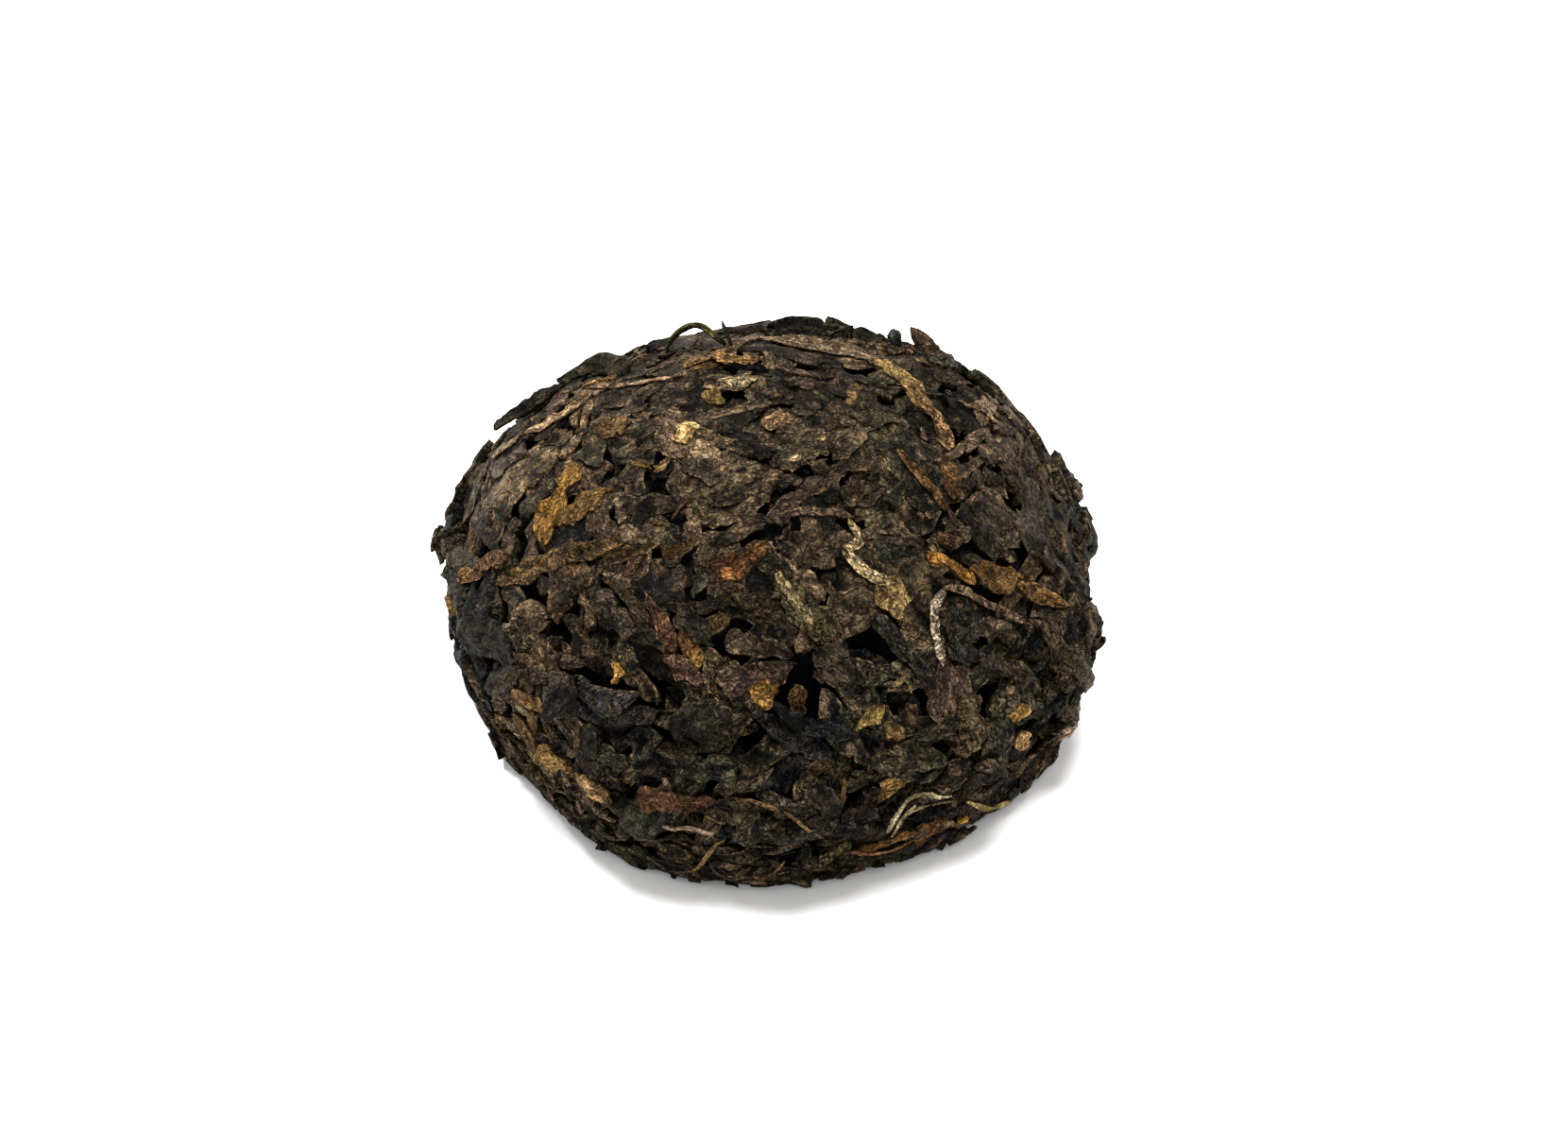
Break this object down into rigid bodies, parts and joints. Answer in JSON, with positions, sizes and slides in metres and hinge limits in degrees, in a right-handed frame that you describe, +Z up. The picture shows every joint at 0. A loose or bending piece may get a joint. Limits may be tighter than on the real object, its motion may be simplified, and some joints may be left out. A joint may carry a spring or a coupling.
{
  "type": "pu erh tuocha",
  "caption": "Small dome-shaped nest of pressed dark fermented tea leaves, lying dome up, with a press hollow in its underside.",
  "frame": {"origin": "middle of the foot's outline, on the surface that the nest stands on", "axes": "+Z up through the dome's crown, -Y towards the side seen from the front, +X to the right as seen from the front"},
  "size_m": [0.0293, 0.0292, 0.0156],
  "materials": {
    "pressed_tea": "matte to satin, pressed dark brown tea leaves with lighter tips and stems"
  },
  "bodies": {
    "root": {"tea_nest": "pressed_tea"}
  },
  "joints": []
}
